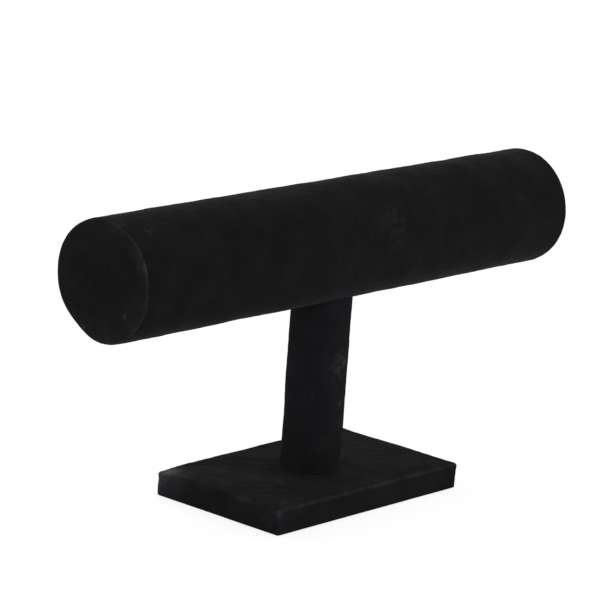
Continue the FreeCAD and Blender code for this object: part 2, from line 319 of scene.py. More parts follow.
def cloth_piece(name, outer, inner, quads, marks):
    """A closed sheet of velvet: its pile side, its glued side and the cut edges that join them."""
    used, quads = np.unique(quads, return_inverse=True)
    quads = quads.reshape(-1, 4)
    outer, inner = outer[used], inner[used]
    rim = free_edges(quads)
    below = len(outer)
    sides = np.stack([rim[:, 1], rim[:, 0], rim[:, 0] + below, rim[:, 1] + below], axis=1)
    faces = np.concatenate([quads, quads[:, ::-1] + below, sides])
    mesh = bpy.data.meshes.new(name)
    mesh.from_pydata(np.concatenate([outer, inner]), [], faces)
    mesh.polygons.foreach_set("use_smooth", np.ones(len(mesh.polygons), bool))
    mesh.set_sharp_from_angle(angle=math.radians(60))
    for label, values in marks.items():
        field = mesh.attributes.new(label, "FLOAT", "POINT")
        of_both = np.concatenate([values[used], np.zeros(below)])
        field.data.foreach_set("value", of_both.astype(np.float32))
    return new_object(name, mesh)


def pushed(points, normals, heights):
    """Points moved along their normals."""
    return points + normals * heights[:, None]


def pile_marks(turned, brushed):
    """What a piece's material reads at each point: how far the pile opens, partly as painted light, and
    its patches of brushed-up pile, dust and painted highlights.
    """
    return {"pile_open_and_painted_light": turned, "dust_and_painted_highlights": brushed}


def dust_and_highlights_at(points, places):
    """How strongly each point gets a lint-coloured patch, for brushed-up pile and dust and for painted
    highlights, from places in millimetres.
    """
    strength = np.zeros(len(points))
    for place, reach, share in places:
        strength += share * hump(np.linalg.norm(points - np.array(place) * MM, axis=1), reach * MM)
    return strength


def relief(points, velvet, seed):
    """How far the pile stands proud of the even surface."""
    slow = unevenness(points, velvet.swell_span, seed) * velvet.swell
    return slow + unevenness(points, velvet.ruffle_span, seed + 1) * velvet.ruffle


def pressed(normals):
    """The share of its unevenness that the pile keeps: little on the underside."""
    return np.where(normals[:, 2] < UNDERSIDE, PRESSED_SHARE, 1.0)


def slant_of(normals, axis):
    """How near halfway each normal is between along an axis and across it, from 0 to a half."""
    return np.abs(normals[:, axis]) * np.sqrt(np.clip(1 - normals[:, axis] ** 2, 0, 1))


def dress(piece, node, material):
    """Gives a piece its velvet, and has it ride on the frame in place of a node."""
    piece.data.materials.append(material)
    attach(piece, ROOT)
    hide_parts(node)


# Velvet of the base


def side_stations(half, radius, spacing):
    """Stations across the base from -half to half, close together at its rounded edges."""
    flat_end = half - radius
    edge = flat_end + radius * np.tan(half_turn_angles())
    return np.concatenate([-edge, even_steps(-flat_end, flat_end, spacing)[1:-1], edge[::-1]])


def border_of_grid(columns, rows):
    """Numbers of a grid's border points in order round it, and where its four corners are among them."""
    front = np.arange(columns - 1)
    right = np.arange(rows - 1) * columns + columns - 1
    back = (rows - 1) * columns + np.arange(columns - 1, 0, -1)
    left = np.arange(rows - 1, 0, -1) * columns
    corners = np.cumsum([0, len(front), len(right), len(back)])
    return np.concatenate([front, right, back, left]), corners


def base_surface(velvet):
    """Points, normals and faces of the velvet's pile side over the base."""
    radius = velvet.edge_round
    half = np.array([BASE_HIGH.x, BASE_HIGH.y])
    crown = BASE_HIGH.z - radius
    xs, ys = (side_stations(reach, radius, velvet.station) for reach in half)
    plan = np.stack(np.meshgrid(xs, ys), axis=-1).reshape(-1, 2)
    inside = np.clip(plan, radius - half, half - radius)
    surface = Surface()

    def turned_over(out, rise):
        """Normals of the rounded edge, from how far out and how high they point."""
        return unit(np.column_stack([out, np.full(len(out), rise)]))

    def at_height(flat, height):
        """Plan points at one height."""
        return np.column_stack([flat, np.full(len(flat), height)])

    normals = turned_over(plan - inside, radius)
    top = surface.add(at_height(inside, crown) + radius * normals, normals).reshape(len(ys), len(xs))
    for nearer, farther in zip(top[:-1], top[1:]):
        surface.join(farther, nearer)

    border, corners = border_of_grid(len(xs), len(ys))
    ring_inside, ring_out = inside[border], (plan - inside)[border]
    outward = unit(ring_out)
    closed = np.append(np.arange(len(border)), 0)
    above = border
    rings = []
    for fall in half_turn_angles()[1:]:
        normals = turned_over(ring_out, radius * math.tan(fall))
        rings.append((at_height(ring_inside, crown) + radius * normals, normals))
    edge = ring_inside + radius * outward
    for height in even_steps(crown, BOARD_LOW.z, 0.7 * velvet.station)[1:]:
        rings.append((at_height(edge, height), at_height(outward, 0)))
    heel = at_height(edge - WRAP * outward, BOARD_LOW.z)
    for fall in HEEL_FALLS:
        normals = at_height(outward * math.cos(fall), -math.sin(fall))
        rings.append((heel + WRAP * normals, normals))
    for points, normals in rings:
        below = surface.add(points, normals)
        surface.join(above[closed], below[closed])
        above = below

    hem_start = rings[-1][0]
    down = np.array([0.0, 0.0, -1.0])
    window = np.array([BOARD_HIGH.x, BOARD_HIGH.y]) - velvet.base_hem
    for side, (first, last) in enumerate(zip(corners, np.append(corners[1:], len(border)))):
        places = np.arange(first, last + 1) % len(border)
        along, over = side % 2, 1 - side % 2
        goal = np.full((len(places), 3), BASE_LOW.z)
        share_along = plan[border][places][:, along] / half[along]
        goal[:, along] = share_along * (window[along] - velvet.tab_gap * math.sqrt(0.5))
        goal[:, over] = np.sign(plan[border][places[1]][over]) * window[over]
        upper = above[places]
        for share in even_steps(0, 1, 1.3 * MM / velvet.base_hem)[1:]:
            lower = surface.add(hem_start[places] * (1 - share) + goal * share, down)
            surface.join(upper, lower)
            upper = lower
    return surface.arrays()


def from_corner(points):
    """How far each point lies to one side of the middle of its nearest upright corner."""
    away = np.array([BASE_HIGH.x, BASE_HIGH.y]) - np.abs(points[:, :2])
    hand = np.where(points[:, 0] * points[:, 1] < 0, -1, 1)
    return (away[:, 0] - away[:, 1]) * math.sqrt(0.5) * hand


def edge_open_and_highlight(points):
    """How far the pile opens and is painted lighter as a highlight at the base's top edges: little at the
    unlit left one, but for a stretch.
    """
    left = np.clip((BASE_LOW.x + 3 * MM - points[:, 0]) / MM, 0, 1)
    stretch = hump(points[:, 1] + 14 * MM, 7 * MM)
    return OPEN_AND_HIGHLIT_AT_EDGE - LESS_HIGHLIGHT_AT_LEFT_EDGE * left * (1 - stretch)


def rubbed_and_highlit(points, velvet):
    """How strongly the base's back left corner is rubbed at each point, from 0 to 1; where it colours the
    pile, it is partly a painted highlight.
    """
    corner = np.array([BASE_LOW.x, BASE_HIGH.y, BASE_HIGH.z])
    return hump(np.linalg.norm(points - corner, axis=1), velvet.rubbed_reach)


def from_post(points):
    """How far each point of the base lies outside the post's foot, negative under it."""
    return np.linalg.norm(points[:, :2], axis=1) - POST_RADIUS


def base_relief(points, normals, velvet):
    """Unevenness of the base's velvet, and the fold of cloth down each upright corner."""
    crown = BASE_HIGH.z - velvet.edge_round
    sideways = from_corner(points)
    on_side = np.clip((crown + 0.8 * MM - points[:, 2]) / (1.6 * MM), 0, 1) * (normals[:, 2] > UNDERSIDE)
    groove = -velvet.fold_depth * hump(sideways, 0.26 * MM)
    lap = 0.5 * velvet.fold_depth * hump(sideways - 0.9 * MM, 0.75 * MM)
    pucker = 0.8 * velvet.fold_depth * hump(sideways, 1.3 * MM) * hump(points[:, 2] - crown, 1.0 * MM)
    free = pressed(normals) * np.clip(from_post(points) / (3 * MM), 0, 1)
    return relief(points, velvet, 11) * free + on_side * (groove + lap) + pucker


def base_opening_and_painted_light(points, normals, velvet):
    """Where the base's pile opens and is painted lighter: painted highlights at its edges and folds,
    painted light round the post that lifts the shade there, and worn pile with a painted highlight at the
    rubbed corner.
    """
    crown = BASE_HIGH.z - velvet.edge_round
    # Painted highlight where the pile opens along the top edges
    edge = 2 * slant_of(normals, 2) * edge_open_and_highlight(points)
    open_and_painted_light = np.where(points[:, 2] > crown - MM, edge, 0)
    # Lighter pile along each corner fold, with a painted highlight at its top
    fold = OPEN_AT_FOLD + HIGHLIGHT_AT_FOLD_TOP * hump(BASE_HIGH.z - points[:, 2], 3 * MM)
    fold *= hump(from_corner(points), 0.7 * MM) * (np.abs(normals[:, 2]) < 0.8)
    # Worn pile at the rubbed corner, with a painted highlight where the left lamp grazes it
    corner = WORN_AND_HIGHLIT_AT_CORNER * rubbed_and_highlit(points, velvet) * (0.7 + 0.3 * np.clip(normals[:, 2], -1, 1))
    # Painted light round the post's foot, lifting the shade there
    foot = PAINTED_LIGHT_ROUND_POST * hump(from_post(points), 2.5 * MM) * (normals[:, 2] > 0.5)
    return np.maximum.reduce([open_and_painted_light, fold, corner, foot])


class STAND_OT_cover_base(bpy.types.Operator):
    """Cover the base in velvet, with its hem turned under and a fold down each corner"""

    bl_idname = "stand.cover_base"
    bl_label = "Cover the base"

    def execute(self, context):
        velvet = context.scene.stand_velvet
        points, normals, quads = base_surface(velvet)
        outer = pushed(points, normals, base_relief(points, normals, velvet))
        outer[:, 2] -= velvet.rubbed_depth * rubbed_and_highlit(points, velvet) ** 2 * points[:, 2] / BASE_HIGH.z
        marks = pile_marks(base_opening_and_painted_light(points, normals, velvet), dust_and_highlights_at(points, DUST_AND_HIGHLIGHTS_BASE))
        piece = cloth_piece("base_velvet", outer, points - CLOTH * normals, quads, marks)
        dress(piece, "base_cover", velvet_material("base", context.scene.stand_colours))
        return {"FINISHED"}


# Velvet of the post and the roll


def sleeve_stations(radius, velvet, slits=()):
    """Angles round a sleeve from one edge of its seam to the other, with a pair at each slit."""
    around = 2 * math.pi * radius - velvet.seam_gap
    near = away_from_edge(velvet.station)
    places = np.concatenate([near, even_steps(near[-1], around - near[-1], velvet.station)[1:-1],
                             around - near[::-1]])
    angles = (places + velvet.seam_gap / 2) / radius
    half_slit = velvet.tab_gap / 2 / (0.75 * radius)
    for slit in slits:
        pair = np.array([slit - half_slit, slit + half_slit])
        angles = np.concatenate([angles[np.abs(angles - slit) > 1.6 * half_slit], pair])
    return np.sort(angles)


def near_seam(angles, radius):
    """How near each angle round a sleeve is to its seam, from 0 to 1."""
    return hump(radius * np.minimum(angles, 2 * math.pi - angles), 0.6 * MM)


def seam_fall(angles, radius, velvet):
    """How far the pile has fallen at each angle round a sleeve, which is most at the seam."""
    from_seam = radius * np.minimum(angles, 2 * math.pi - angles) - velvet.seam_gap / 2
    return velvet.seam_fall * hump(from_seam, 0.4 * MM)


def sleeve_of_rows(rows, in_slit, outer_first):
    """Points, normals, glued side and faces of a sleeve whose rows run from one cut edge to the other."""
    surface = Surface()
    numbers = [surface.add(points, normals) for points, _, normals, _ in rows]
    for k in range(len(rows) - 1):
        pair = (numbers[k + 1], numbers[k]) if outer_first else (numbers[k], numbers[k + 1])
        surface.join(*pair, in_slit if rows[k][3] and rows[k + 1][3] else None)
    points, normals, quads = surface.arrays()
    return points, normals, np.concatenate([glued for _, glued, _, _ in rows]), quads


def slit_faces(angles, slits):
    """Which faces round a sleeve lie in a slit between two tabs."""
    middles = (angles[:-1] + angles[1:]) / 2
    width = np.diff(angles)
    return np.array([np.any(np.abs(slits - middle) < 0.4 * w) for middle, w in zip(middles, width)])


class STAND_OT_cover_post(bpy.types.Operator):
    """Cover the post in a velvet sleeve, coped to the roll and butted down the back"""

    bl_idname = "stand.cover_post"
    bl_label = "Cover the post"

    def execute(self, context):
        velvet = context.scene.stand_velvet
        piece = cloth_piece("post_velvet", *post_sleeve(velvet))
        dress(piece, "post_cover", velvet_material("post", context.scene.stand_colours))
        return {"FINISHED"}


def squared(fall, fullness):
    """How much further out a squared heel reaches than a round one, at one angle of its turn."""
    return (math.sin(fall) ** fullness + math.cos(fall) ** fullness) ** (-1 / fullness)


def post_sleeve(velvet):
    """The post's velvet: its pile side, its glued side, its faces and its marks."""
    slits = (np.arange(velvet.foot_tabs) + 0.5) * 2 * math.pi / velvet.foot_tabs
    angles = sleeve_stations(POST_RADIUS, velvet, slits)
    in_slit = slit_faces(angles, slits)
    headings = np.column_stack([-np.sin(angles), np.cos(angles), np.zeros(len(angles))])
    up = np.array([0.0, 0.0, 1.0])
    foot = DOWEL_LOW.z
    glued = POST_RADIUS - CLOTH

    def up_the_side(radius, share):
        """A row of points at one share of the way from the foot to where the sleeve meets the roll."""
        reach = ROLL_RADIUS + velvet.seat_gap
        meeting = ROLL_HEIGHT - np.sqrt(reach ** 2 - (radius * headings[:, 1]) ** 2)
        return headings * radius + up * (foot + share * (meeting - foot))[:, None]

    rows = []
    for radius in even_steps(DOWEL_RADIUS - velvet.foot_hem, DOWEL_RADIUS, 0.9 * MM)[:-1]:
        flat = headings * radius + up * POST_LOW.z
        rows.append((flat, flat + up * CLOTH, -up, True))
    heel = headings * DOWEL_RADIUS + up * foot
    for fall in (0, *HEEL_FALLS):
        normals = headings * math.sin(fall) - up * math.cos(fall)
        full = heel + WRAP * squared(fall, velvet.heel_fullness) * normals
        rows.append((full, heel + (WRAP - CLOTH) * normals, normals, fall == 0))
    shares = even_steps(0, 1, velvet.station / (POST_HIGH.z - foot))[1:-1]
    for share in np.append(shares, [0.994, 1.0]):
        rows.append((up_the_side(POST_RADIUS, share), up_the_side(glued, share), headings, False))
    points, normals, inner, quads = sleeve_of_rows(rows, in_slit, outer_first=True)
    top_row = np.arange(len(points)) >= len(points) - len(angles)
    heights = relief(points, velvet, 31) * pressed(normals) - CUT_FALL * top_row
    heights -= np.tile(seam_fall(angles, POST_RADIUS, velvet), len(rows))
    at_cut = np.maximum(top_row, np.tile(near_seam(angles, POST_RADIUS), len(rows)))
    # Painted light on the heel, lifting the shade where the post meets the base
    at_heel = hump(points[:, 2] - POST_LOW.z - 0.3 * MM, 0.6 * MM)
    open_and_painted_light = np.maximum(OPEN_AT_SEAM * at_cut, PAINTED_LIGHT_AT_HEEL * at_heel)
    outer = pushed(points, normals, heights)
    return outer, inner, quads, pile_marks(open_and_painted_light, dust_and_highlights_at(outer, DUST_AND_HIGHLIGHTS_POST))


def round_roll(angles, velvet):
    """Directions away from the roll's axis, from the seam round over the top."""
    turn = angles - velvet.roll_seam
    return np.column_stack([np.zeros(len(angles)), -np.sin(turn), -np.cos(turn)])


def near_left_end(points, middle, reach):
    """How near each point of the roll's left half is to one place round it, from 0 to 1."""
    place = np.arctan2(points[:, 1], points[:, 2] - ROLL_HEIGHT)
    off = np.abs((place - middle + math.pi) % (2 * math.pi) - math.pi)
    return hump(off, reach) * (points[:, 0] < 0)


def left_end_shape(points, velvet):
    """How far the left end's edge sinks, where it is worn, and stands out, where it bulges."""
    sunk = velvet.worn_depth * near_left_end(points, velvet.worn_place, velvet.worn_reach)
    return sunk, velvet.bulge_height * near_left_end(points, velvet.bulge_place, velvet.worn_reach)


def rim_open_and_highlight(points, velvet):
    """How far the pile opens round the roll's ends, with a painted highlight, most at one stretch of the
    left end.
    """
    # The left rim's lightest stretch, a painted highlight
    brushed = near_left_end(points, velvet.rim_highlight_place, velvet.rim_highlight_reach)
    return OPEN_AND_HIGHLIT_AT_RIM + MORE_HIGHLIGHT_AT_RIM_STRETCH * brushed


class STAND_OT_cover_roll(bpy.types.Operator):
    """Cover the roll in a velvet sleeve, butted low on the back and turned in over both ends as tabs"""

    bl_idname = "stand.cover_roll"
    bl_label = "Cover the roll"

    def execute(self, context):
        velvet = context.scene.stand_velvet
        piece = cloth_piece("roll_velvet", *roll_sleeve(velvet))
        dress(piece, "roll_cover", velvet_material("roll", context.scene.stand_colours))
        return {"FINISHED"}


def roll_sleeve(velvet):
    """The roll's velvet: its pile side, its glued side, its faces and its marks."""
    slits = (np.arange(velvet.end_tabs) + 0.5) * 2 * math.pi / velvet.end_tabs
    angles = sleeve_stations(ROLL_RADIUS, velvet, slits)
    in_slit = slit_faces(angles, slits)
    headings = round_roll(angles, velvet)
    across = np.array([1.0, 0.0, 0.0])
    axis = np.array([0.0, 0.0, ROLL_HEIGHT])
    stations = [(SLEEVE_END, radius, 1.0, radius < TUBE_RADIUS - 1.5 * MM)
                for radius in even_steps(TUBE_RADIUS - velvet.end_hem, TUBE_RADIUS, MM)[:-1]]
    for fall in np.radians([90, 75, 60, 45, 30, 15, 0]):
        lean = math.sin(fall)
        stations.append((TUBE_END + WRAP * lean, TUBE_RADIUS + WRAP * math.cos(fall), lean, False))
    stations += [(TUBE_END - back * MM, ROLL_RADIUS, 0.0, False) for back in (0.4, 0.9, 1.6)]
    last = stations[-1][0]
    middle = [(x, ROLL_RADIUS, 0.0, False) for x in even_steps(-last, last, velvet.station)[1:-1]]
    left = [(-x, radius, -lean, slit) for x, radius, lean, slit in stations]
    rows = []
    for x, radius, lean, slit in left + middle + stations[::-1]:
        normals = headings * math.sqrt(1 - lean ** 2) + across * lean
        row = axis + headings * radius + across * x
        rows.append((row, row - CLOTH * normals, normals, slit))
    points, normals, inner, quads = sleeve_of_rows(rows, in_slit, outer_first=False)
    heights = relief(points, velvet, 51) * (1 - 0.7 * np.abs(normals[:, 0]))
    heights -= np.tile(seam_fall(angles, ROLL_RADIUS, velvet), len(rows))
    closing = np.where(angles < math.pi, -1, 1) * velvet.seam_closing * near_seam(angles, ROLL_RADIUS)
    outer = points + np.tile(round_roll(angles + math.pi / 2, velvet) * closing[:, None], (len(rows), 1))
    from_end = SLEEVE_END - np.abs(points[:, 0])
    sunk, raised = left_end_shape(points, velvet)
    heights += raised * hump(from_end, 12 * MM) - 0.6 * sunk * hump(from_end, 3 * MM)
    outer = pushed(outer, normals, np.maximum(heights, THINNEST - CLOTH))
    at_seam = np.tile(near_seam(angles, ROLL_RADIUS), len(rows))
    # Opened pile round the roll's shoulders, partly a painted highlight, and at its seam
    open_and_painted_light = np.maximum(slant_of(normals, 0) * rim_open_and_highlight(points, velvet), OPEN_AT_SEAM * at_seam)
    return outer, inner, quads, pile_marks(open_and_painted_light, dust_and_highlights_at(outer, DUST_AND_HIGHLIGHTS_ROLL))


class STAND_OT_cover_ends(bpy.types.Operator):
    """Glue a velvet disc over each end of the roll"""

    bl_idname = "stand.cover_ends"
    bl_label = "Cover the roll's ends"

    def execute(self, context):
        velvet = context.scene.stand_velvet
        material = velvet_material("ends", context.scene.stand_colours)
        for side, hand in (("left", -1), ("right", 1)):
            piece = cloth_piece("end_velvet_" + side, *end_disc(velvet, hand))
            dress(piece, "roll_end_cover_" + side, material)
        return {"FINISHED"}


def end_disc(velvet, hand):
    """One end's disc: its pile side, its glued side, its faces and its marks."""
    full_radius = DISC_RADIUS + velvet.disc_splay
    flat_radius = full_radius - velvet.disc_edge
    stations = even_steps(-1, 1, velvet.station / flat_radius)
    u, v = (field.ravel() for field in np.meshgrid(stations, stations))
    flat = flat_radius * np.column_stack([u * np.sqrt(1 - v ** 2 / 2), v * np.sqrt(1 - u ** 2 / 2)])
    outward = np.array([float(hand), 0.0, 0.0])
    surface = Surface()

    def placed(plane_points, out):
        """Points of the disc's plane, so far out along the roll."""
        return np.column_stack([np.full(len(plane_points), hand * out), plane_points[:, 0],
                                ROLL_HEIGHT + plane_points[:, 1]])

    def join(first, second):
        """Faces between two rows, whose order is turned round at the left end."""
        surface.join(*((first, second) if hand > 0 else (second, first)))

    face = surface.add(placed(flat, DISC_HIGH.x), outward).reshape(len(stations), -1)
    for lower, higher in zip(face[:-1], face[1:]):
        join(higher, lower)
    border, _ = border_of_grid(len(stations), len(stations))
    closed = np.append(np.arange(len(border)), 0)
    rim = unit(flat[border])
    radial = np.column_stack([np.zeros(len(rim)), rim])
    falls = np.radians([22, 45, 68, 90, 90])
    backs = velvet.disc_edge * (1 - np.cos(falls))
    backs[-1] = CLOTH - 0.08 * MM
    even_share = np.arange(1, len(falls) + 1) / len(falls)
    glued_short = velvet.disc_edge * np.repeat(np.sin(falls) - even_share, len(border))
    above = border
    for fall, back in zip(falls, backs):
        ring = placed(rim * (flat_radius + velvet.disc_edge * math.sin(fall)), DISC_HIGH.x - back)
        below = surface.add(ring, radial * math.sin(fall) + outward * math.cos(fall))
        join(above[closed], below[closed])
        above = below
    points, normals, quads = surface.arrays()
    spokes = np.column_stack([np.zeros(len(points)), points[:, 1], points[:, 2] - ROLL_HEIGHT])
    to_rim = np.linalg.norm(spokes, axis=1) - full_radius
    outer = pushed(points, normals, relief(points, velvet, 71 + hand) * (1 - 0.5 * hump(to_rim, 2 * MM)))
    sunk, raised = left_end_shape(points, velvet)
    sunk = sunk * hump(to_rim, 3 * MM)
    outer += unit(spokes) * (raised * hump(to_rim, 6 * MM) - sunk)[:, None]
    proud = (hand * outer[:, 0] - DISC_LOW.x) * (1 - 0.4 * sunk / CLOTH)
    outer[:, 0] = hand * (DISC_LOW.x + proud)
    inner = outer.copy()
    inner[-len(glued_short):] -= unit(spokes[-len(glued_short):]) * glued_short[:, None]
    inner[:, 0] = hand * DISC_LOW.x
    # Opened pile with a painted highlight round the disc's rim, strongest on the left rim's lightest
    # stretch
    open_and_painted_light = rim_open_and_highlight(points, velvet) * hump(to_rim, 0.8 * MM) + OPEN_NEAR_RIM * hump(to_rim, 6 * MM)
    brushed = near_left_end(points, velvet.rim_highlight_place, velvet.rim_highlight_reach / 2)
    open_and_painted_light += HIGHLIGHT_AT_RIM_STRETCH * brushed * hump(to_rim, 3 * MM)
    return outer, inner, quads, pile_marks(open_and_painted_light, dust_and_highlights_at(points, DUST_AND_HIGHLIGHTS_DISC))


# Nodes of the finishes


def add_node(tree, kind, inputs=(), **settings):
    """A new node with its settings, and its inputs given as values or as sockets to link."""
    made = tree.nodes.new(kind)
    for name, value in settings.items():
        setattr(made, name, value)
    wire(tree, made, dict(inputs))
    return made


def number(tree, operation, first, second=0.0, clamp=False):
    """The result of one sum on two numbers."""
    made = add_node(tree, "ShaderNodeMath", {0: first, 1: second}, operation=operation, use_clamp=clamp)
    return made.outputs[0]


def times(tree, first, second, clamp=False):
    """The product of two numbers."""
    return number(tree, "MULTIPLY", first, second, clamp)


def blend(tree, share, first, second):
    """A colour between two colours."""
    made = add_node(tree, "ShaderNodeMix", {0: share, 6: first, 7: second}, data_type="RGBA")
    return made.outputs[2]


def ramp(tree, value, low, high):
    """Zero below low, one above high and smooth between."""
    made = add_node(tree, "ShaderNodeMapRange", {0: value, 1: low, 2: high},
                    interpolation_type="SMOOTHSTEP")
    return made.outputs[0]


def noise(tree, place, scale, detail=2.0, rough=0.5):
    """Smooth noise from 0 to 1, with so many ups and downs to the metre."""
    made = add_node(tree, "ShaderNodeTexNoise",
                    {"Vector": place, "Scale": scale, "Detail": detail, "Roughness": rough})
    return made.outputs[0]


def stretched(tree, place, scale):
    """Places with their axes scaled, so that what is drawn there runs along one axis."""
    made = add_node(tree, "ShaderNodeVectorMath", {0: place, 1: scale}, operation="MULTIPLY")
    return made.outputs[0]


def opaque(rgb):
    """A colour with its alpha."""
    return (*rgb, 1.0)


def shaded(rgb, share):
    """A colour made darker or lighter."""
    return opaque([min(1.0, part * share) for part in rgb])


def shared_group(name):
    """The node group of one effect, built the first time that it is asked for."""
    if name in bpy.data.node_groups:
        return bpy.data.node_groups[name]
    draw, inputs = EFFECTS[name]
    group = bpy.data.node_groups.new(name, "ShaderNodeTree")
    for label, default in inputs.items():
        kind = "NodeSocketFloat" if isinstance(default, float) else "NodeSocketVector"
        socket = group.interface.new_socket(name=label, in_out="INPUT", socket_type=kind)
        if default is not None:
            socket.default_value = default
    results = draw(group, group.nodes.new("NodeGroupInput").outputs)
    for label in results:
        group.interface.new_socket(name=label, in_out="OUTPUT", socket_type="NodeSocketFloat")
    wire(group, group.nodes.new("NodeGroupOutput"), results)
    return group


def draw_nap(group, given):
    """How the pile lies: fine grain, brushed streaks and slow patches."""
    place, streaks = given["Place"], given["Streaks"]
    grain = noise(group, place, given["Tuft"], 3.0, 0.65)
    patches = noise(group, place, given["Patch"], 4.0, 0.62)
    brushed = noise(group, stretched(group, place, given["Stretch"]), 600.0, 3.0, 0.6)
    patch_share = number(group, "SUBTRACT", 1.0, streaks)
    lie = number(group, "ADD", times(group, ramp(group, patches, 0.3, 0.75), patch_share),
                 times(group, ramp(group, brushed, 0.25, 0.8), streaks))
    return {"Grain": grain, "Lie": lie}


def draw_lint(group, given):
    """Specks of dust that gather in drifts, and mottled patches where the pile is brushed up and where
    highlights are painted.
    """
    place = given["Place"]
    specks = ramp(group, noise(group, place, given["Specks"], 2.0, 0.7), 0.66, 0.76)
    drifts = ramp(group, noise(group, place, given["Drifts"], 2.0), 0.46, 0.66)
    dust = times(group, times(group, specks, drifts), given["Dust"])
    # Mottled patches: brushed-up pile, and some painted highlights
    mottles = ramp(group, noise(group, place, given["Mottles"], 3.0, 0.65), 0.35, 0.7)
    patch = times(group, mottles, given["Brushed"])
    return {"Mask": number(group, "MAXIMUM", dust, patch)}


def draw_grain(group, given):
    """Wood grain: long bands of early and late growth, and short pores."""
    along = stretched(group, given["Place"], given["Stretch"])
    bands = noise(group, along, given["Bands"], 4.0, 0.55)
    pores = noise(group, along, times(group, given["Bands"], 7.0), 2.0, 0.6)
    return {"Bands": ramp(group, bands, 0.35, 0.65), "Pores": ramp(group, pores, 0.55, 0.7)}


def draw_flecks(group, given):
    """Pressed fibres: small flecks, lighter and darker."""
    along = stretched(group, given["Place"], given["Stretch"])
    return {"Flecks": noise(group, along, given["Flecks"], 3.0, 0.7),
            "Clouds": noise(group, along, 60.0, 3.0)}


# What draws each effect, and its inputs with their usual values
EFFECTS = {
    "Velvet nap": (draw_nap, {"Place": None, "Stretch": (1, 1, 1), "Tuft": 1700.0, "Patch": 75.0,
                              "Streaks": 0.4}),
    "Lint": (draw_lint, {"Place": None, "Specks": 900.0, "Drifts": 120.0, "Dust": 0.1, "Mottles": 420.0,
                         "Brushed": 0.0}),
    "Wood grain": (draw_grain, {"Place": None, "Stretch": (1, 1, 0.06), "Bands": 320.0}),
    "Fibre flecks": (draw_flecks, {"Place": None, "Stretch": (1, 1, 1), "Flecks": 1500.0}),
}


def empty_tree(holder):
    """The node tree of a material or a world, emptied."""
    holder.use_nodes = True
    holder.node_tree.nodes.clear()
    return holder.node_tree


def new_material(name):
    """A node material with an empty tree but for its output, its shader and object places."""
    material = bpy.data.materials.new(name)
    tree = empty_tree(material)
    shader = tree.nodes.new("ShaderNodeBsdfPrincipled")
    output = tree.nodes.new("ShaderNodeOutputMaterial")
    tree.links.new(shader.outputs[0], output.inputs["Surface"])
    place = tree.nodes.new("ShaderNodeTexCoord").outputs["Object"]
    return material, tree, shader, place


def wire(tree, made, inputs):
    """Sets a node's inputs, each to a value or linked to a socket."""
    for key, value in inputs.items():
        if isinstance(value, bpy.types.NodeSocket):
            tree.links.new(value, made.inputs[key])
        else:
            made.inputs[key].default_value = value


def use_effect(tree, name, inputs):
    """What an effect puts out in a material, from its inputs there."""
    made = tree.nodes.new("ShaderNodeGroup")
    made.node_tree = shared_group(name)
    wire(tree, made, inputs)
    return made.outputs


def finish(tree, shader, shown, rough, height, strength, depth, **even):
    """Wires colour, roughness and relief into a shader, and sets what is even all over."""
    bump = add_node(tree, "ShaderNodeBump", {"Strength": strength, "Distance": depth, "Height": height})
    wire(tree, shader, {"Base Color": shown, "Roughness": rough, "Normal": bump.outputs[0]})
    wire(tree, shader, {name.replace("_", " "): value for name, value in even.items()})


def velvet_material(part, colours):
    """Black velvet: its nap in patches and streaks, its pile open or worn at edges with painted
    highlights, painted light round the post's foot, each part's colour painted lighter or darker for its
    light and shade, and a little lint with some painted highlights.
    """
    lay, painted_light_share, relief_strength, gloss = VELVET_LOOKS[part]
    material, tree, shader, place = new_material("velvet_of_" + part)
    streaks = 0.6 * relief_strength
    nap = use_effect(tree, "Velvet nap", {"Place": place, "Stretch": lay, "Streaks": streaks})
    grain, lie = nap["Grain"], nap["Lie"]
    # How far the pile opens: partly painted highlights on edges, folds and rims, and painted light lifting
    # the shade round the post's foot
    turn = add_node(tree, "ShaderNodeAttribute", attribute_name="pile_open_and_painted_light").outputs["Fac"]
    # Patches of brushed-up pile and dust, and some painted highlights
    brushed = add_node(tree, "ShaderNodeAttribute", attribute_name="dust_and_painted_highlights").outputs["Fac"]
    # Each part's velvet is painted lighter or darker, standing in for the light and shade that part gets
    body = blend(tree, times(tree, lie, ramp(tree, grain, 0.1, 0.8)),
                 shaded(colours.pile, painted_light_share), shaded(colours.laid, painted_light_share))
    uneven = number(tree, "ADD", times(tree, ramp(tree, grain, 0.25, 0.75), 0.6),
                    times(tree, lie, 0.5))
    open_and_painted_light = times(tree, number(tree, "MINIMUM", turn, 1.0), uneven, clamp=True)
    # The lighter opened pile, partly a painted highlight
    edged = blend(tree, open_and_painted_light, body, opaque(colours.turned))
    # Worn pile past an opening of one, partly a painted highlight
    worn_and_highlit = times(tree, number(tree, "SUBTRACT", turn, 1.0, clamp=True), uneven, clamp=True)
    worn_and_highlit_pile = blend(tree, worn_and_highlit, edged, opaque(colours.worn_and_highlit))
    # Dust and lint, and lighter patches painted as highlights
    lint_and_highlight = use_effect(tree, "Lint", {"Place": place, "Brushed": brushed})
    shown = blend(tree, lint_and_highlight["Mask"], worn_and_highlit_pile, opaque(colours.lint_and_highlight))
    height = number(tree, "ADD", grain, times(tree, lie, 0.5))
    rough = number(tree, "SUBTRACT", 1.0, times(tree, lie, 0.2))
    finish(tree, shader, shown, rough, height, relief_strength, 0.25 * MM, Specular_IOR_Level=gloss,
           Sheen_Weight=0.8 * gloss, Sheen_Roughness=0.3, Sheen_Tint=opaque(colours.sheen))
    return material


